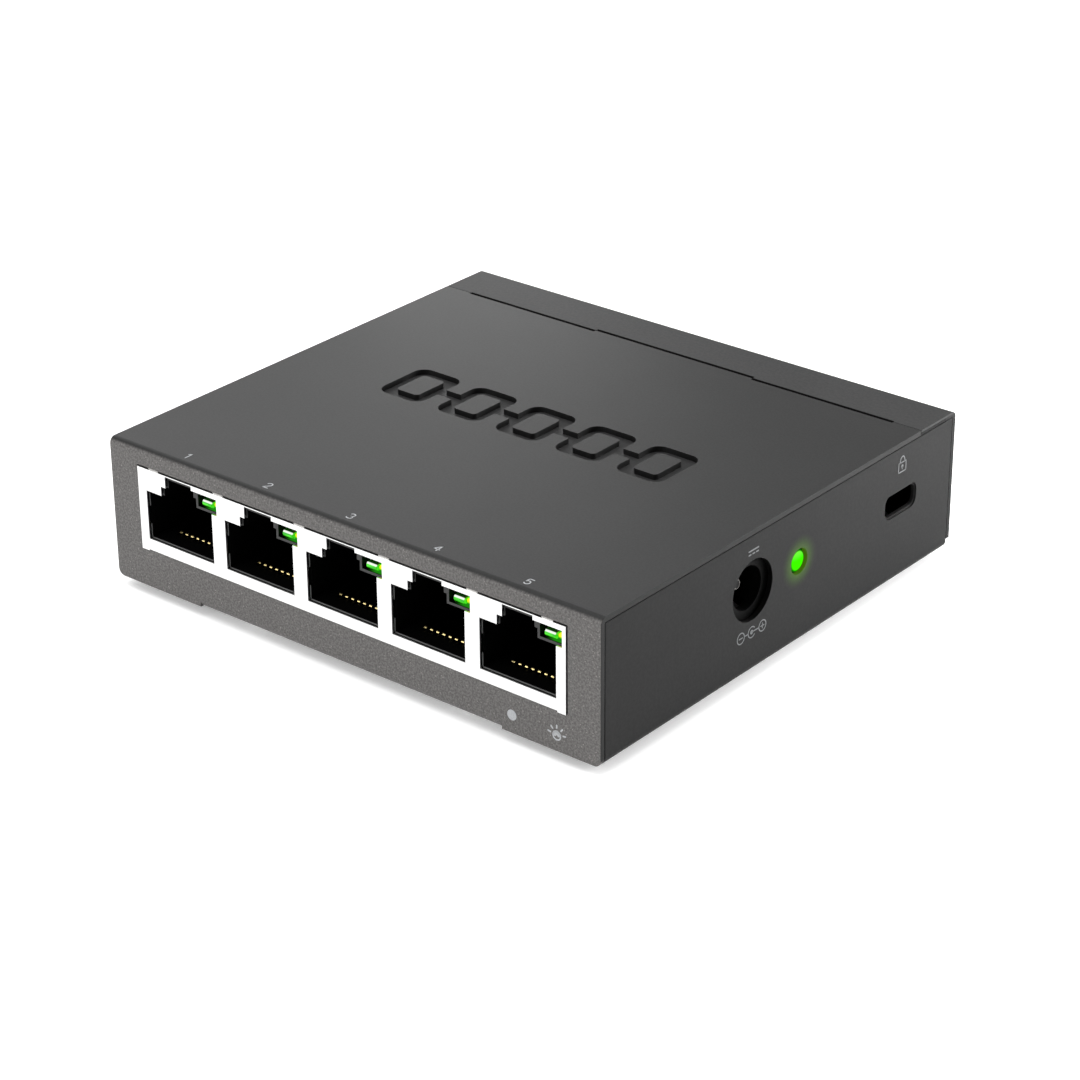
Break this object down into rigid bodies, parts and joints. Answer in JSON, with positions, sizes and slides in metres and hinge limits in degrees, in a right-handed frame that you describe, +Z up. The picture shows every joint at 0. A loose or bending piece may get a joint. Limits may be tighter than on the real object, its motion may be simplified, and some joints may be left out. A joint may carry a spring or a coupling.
{
  "type": "desktop network switch",
  "caption": "Small flat steel-cased network switch with a row of jacks in the front, a power socket, a lamp and a lock slot in the right side.",
  "frame": {"origin": "on the desk, under the centre of the case", "axes": "+Z up, the ports face -Y, the power socket faces +X"},
  "size_m": [0.082, 0.0762, 0.0216],
  "materials": {
    "cover_paint": "fine textured dark grey paint with a metallic fleck",
    "tray_paint": "satin dark grey paint",
    "plated_steel": "zinc plated",
    "foot_rubber": "matt black rubber",
    "label_film": "blank silver-grey film label",
    "circuit_board": "green solder mask",
    "port_plastic": "black moulded plastic",
    "bright_shield": "bright tin plated sheet",
    "gold_wire": "gold plated spring wire",
    "tinned_lead": "tin plated",
    "port_lamp": "lit green lamp",
    "socket_plastic": "black moulded plastic",
    "power_lamp": "lit green lamp",
    "chip_package": "moulded epoxy",
    "thermal_rubber": "soft filled silicone",
    "heat_sink_black": "black anodised",
    "crystal_can": "plain metal can",
    "capacitor_sleeve": "shrink sleeve",
    "inductor_ferrite": "grey ferrite",
    "capacitor_ceramic": "tan ceramic",
    "resistor_ceramic": "black glaze"
  },
  "bodies": {
    "case": {"top_cover": "cover_paint", "base_tray": "tray_paint", "case_screws": "plated_steel", "standoffs": "plated_steel", "board_screws": "plated_steel", "foot_front_left": "foot_rubber", "foot_front_right": "foot_rubber", "foot_rear_left": "foot_rubber", "foot_rear_right": "foot_rubber", "rating_label": "label_film", "main_board": "circuit_board", "jack_housing": "port_plastic", "jack_shield": "bright_shield", "port_1_tails": "gold_wire", "port_2_tails": "gold_wire", "port_3_tails": "gold_wire", "port_4_tails": "gold_wire", "port_5_tails": "gold_wire", "port_1_led": "port_lamp", "port_2_led": "port_lamp", "port_3_led": "port_lamp", "port_4_led": "port_lamp", "port_5_led": "port_lamp", "port_led_leads": "tinned_lead", "dc_jack_body": "socket_plastic", "dc_jack_pin": "tinned_lead", "dc_jack_terminals": "tinned_lead", "power_led": "power_lamp", "power_led_leads": "tinned_lead", "switch_chip": "chip_package", "thermal_pad": "thermal_rubber", "heat_sink": "heat_sink_black", "magnetics_1": "chip_package", "magnetics_2": "chip_package", "magnetics_3": "chip_package", "magnetics_4": "chip_package", "magnetics_5": "chip_package", "crystal": "crystal_can", "electrolytic_capacitors": "capacitor_sleeve", "power_inductor": "inductor_ferrite", "regulator_chip": "chip_package", "memory_chip": "chip_package", "schottky_diode": "chip_package", "chip_capacitors": "capacitor_ceramic", "chip_resistors": "resistor_ceramic"},
    "port_1_contacts": {"port_1_contacts": "gold_wire"},
    "port_2_contacts": {"port_2_contacts": "gold_wire"},
    "port_3_contacts": {"port_3_contacts": "gold_wire"},
    "port_4_contacts": {"port_4_contacts": "gold_wire"},
    "port_5_contacts": {"port_5_contacts": "gold_wire"},
    "dc_jack_leaf": {"dc_jack_leaf_spring": "tinned_lead"}
  },
  "joints": [
    {"name": "port_1_contacts_flex", "type": "hinge", "parent": "case", "child": "port_1_contacts", "pos_m": [-0.02868, -0.0344, 0.00885], "axis": [-1, 0, 0], "range_deg": [0, 10], "stiffness_Nm_per_rad": 0.02},
    {"name": "port_2_contacts_flex", "type": "hinge", "parent": "case", "child": "port_2_contacts", "pos_m": [-0.01444, -0.0344, 0.00885], "axis": [-1, 0, 0], "range_deg": [0, 10], "stiffness_Nm_per_rad": 0.02},
    {"name": "port_3_contacts_flex", "type": "hinge", "parent": "case", "child": "port_3_contacts", "pos_m": [-0.0002, -0.0344, 0.00885], "axis": [-1, 0, 0], "range_deg": [0, 10], "stiffness_Nm_per_rad": 0.02},
    {"name": "port_4_contacts_flex", "type": "hinge", "parent": "case", "child": "port_4_contacts", "pos_m": [0.01404, -0.0344, 0.00885], "axis": [-1, 0, 0], "range_deg": [0, 10], "stiffness_Nm_per_rad": 0.02},
    {"name": "port_5_contacts_flex", "type": "hinge", "parent": "case", "child": "port_5_contacts", "pos_m": [0.02828, -0.0344, 0.00885], "axis": [-1, 0, 0], "range_deg": [0, 10], "stiffness_Nm_per_rad": 0.02},
    {"name": "dc_leaf_flex", "type": "hinge", "parent": "case", "child": "dc_jack_leaf", "pos_m": [0.0296, -0.00766, 0.00925], "axis": [0, 1, 0], "range_deg": [0, 5], "stiffness_Nm_per_rad": 0.02}
  ]
}
